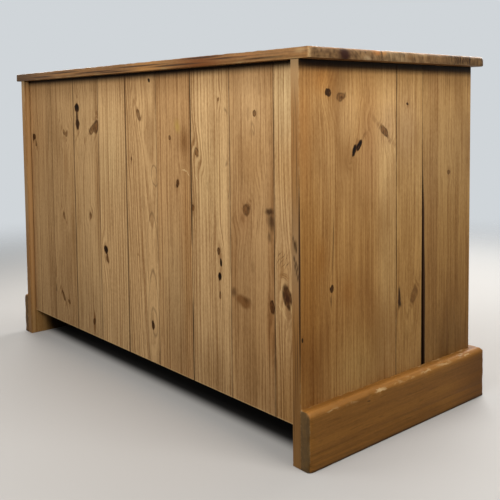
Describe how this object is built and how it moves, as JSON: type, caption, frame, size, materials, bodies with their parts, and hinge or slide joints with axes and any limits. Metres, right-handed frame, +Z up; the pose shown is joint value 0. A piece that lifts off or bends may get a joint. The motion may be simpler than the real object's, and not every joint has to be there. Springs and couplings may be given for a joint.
{
  "type": "chest of drawers",
  "caption": "Free-standing old pine chest of drawers on a mitred plinth, with dovetailed drawers on wooden runners, turned knobs and a boarded back.",
  "frame": {"origin": "on the floor, under the middle of the overall box, which runs from the tips of the knobs to the rear edge of the top", "axes": "+Z up; the drawer fronts face -Y; +X to the right of someone who faces the fronts"},
  "size_m": [1.17, 0.552, 0.74],
  "materials": {
    "outer_pine": "waxed old pine",
    "back_pine": "bare aged pine",
    "inner_pine": "bare pine",
    "turned_pine": "waxed turned pine"
  },
  "bodies": {
    "carcase": {"back_board_1": "back_pine", "back_board_2": "back_pine", "back_board_3": "back_pine", "back_board_4": "back_pine", "back_board_5": "back_pine", "back_board_6": "back_pine", "back_board_7": "back_pine", "back_board_8": "back_pine", "back_board_9": "back_pine", "back_bottom_rail": "inner_pine", "back_middle_rail": "inner_pine", "back_top_rail": "inner_pine", "centre_guide": "inner_pine", "centre_runner": "inner_pine", "drawer_stops": "inner_pine", "front_bottom_rail": "outer_pine", "front_top_rail": "outer_pine", "left_end_front_board": "outer_pine", "left_end_middle_board": "outer_pine", "left_end_rear_board": "outer_pine", "lower_drawer_rail": "outer_pine", "lower_side_runners": "inner_pine", "plinth_front": "outer_pine", "plinth_glue_blocks": "inner_pine", "plinth_left": "outer_pine", "plinth_right": "outer_pine", "right_end_front_board": "outer_pine", "right_end_middle_board": "outer_pine", "right_end_rear_board": "outer_pine", "short_drawer_divider": "outer_pine", "top_front_board": "outer_pine", "top_kickers": "inner_pine", "top_middle_board": "outer_pine", "top_rear_board": "outer_pine", "upper_drawer_rail": "outer_pine", "upper_side_runners": "inner_pine"},
    "bottom_drawer": {"bottom_drawer_back": "inner_pine", "bottom_drawer_bottom": "inner_pine", "bottom_drawer_front": "outer_pine", "bottom_drawer_knobs": "turned_pine", "bottom_drawer_left_side": "inner_pine", "bottom_drawer_right_side": "inner_pine"},
    "middle_drawer": {"middle_drawer_back": "inner_pine", "middle_drawer_bottom": "inner_pine", "middle_drawer_front": "outer_pine", "middle_drawer_knobs": "turned_pine", "middle_drawer_left_side": "inner_pine", "middle_drawer_right_side": "inner_pine"},
    "top_left_drawer": {"top_left_drawer_back": "inner_pine", "top_left_drawer_bottom": "inner_pine", "top_left_drawer_front": "outer_pine", "top_left_drawer_knobs": "turned_pine", "top_left_drawer_left_side": "inner_pine", "top_left_drawer_right_side": "inner_pine"},
    "top_right_drawer": {"top_right_drawer_back": "inner_pine", "top_right_drawer_bottom": "inner_pine", "top_right_drawer_front": "outer_pine", "top_right_drawer_knobs": "turned_pine", "top_right_drawer_left_side": "inner_pine", "top_right_drawer_right_side": "inner_pine"}
  },
  "joints": [
    {"name": "bottom_drawer_slide", "type": "slide", "parent": "carcase", "child": "bottom_drawer", "axis": [0, -1, 0], "range_m": [0, 0.38]},
    {"name": "middle_drawer_slide", "type": "slide", "parent": "carcase", "child": "middle_drawer", "axis": [0, -1, 0], "range_m": [0, 0.38]},
    {"name": "top_left_drawer_slide", "type": "slide", "parent": "carcase", "child": "top_left_drawer", "axis": [0, -1, 0], "range_m": [0, 0.38]},
    {"name": "top_right_drawer_slide", "type": "slide", "parent": "carcase", "child": "top_right_drawer", "axis": [0, -1, 0], "range_m": [0, 0.38]}
  ]
}
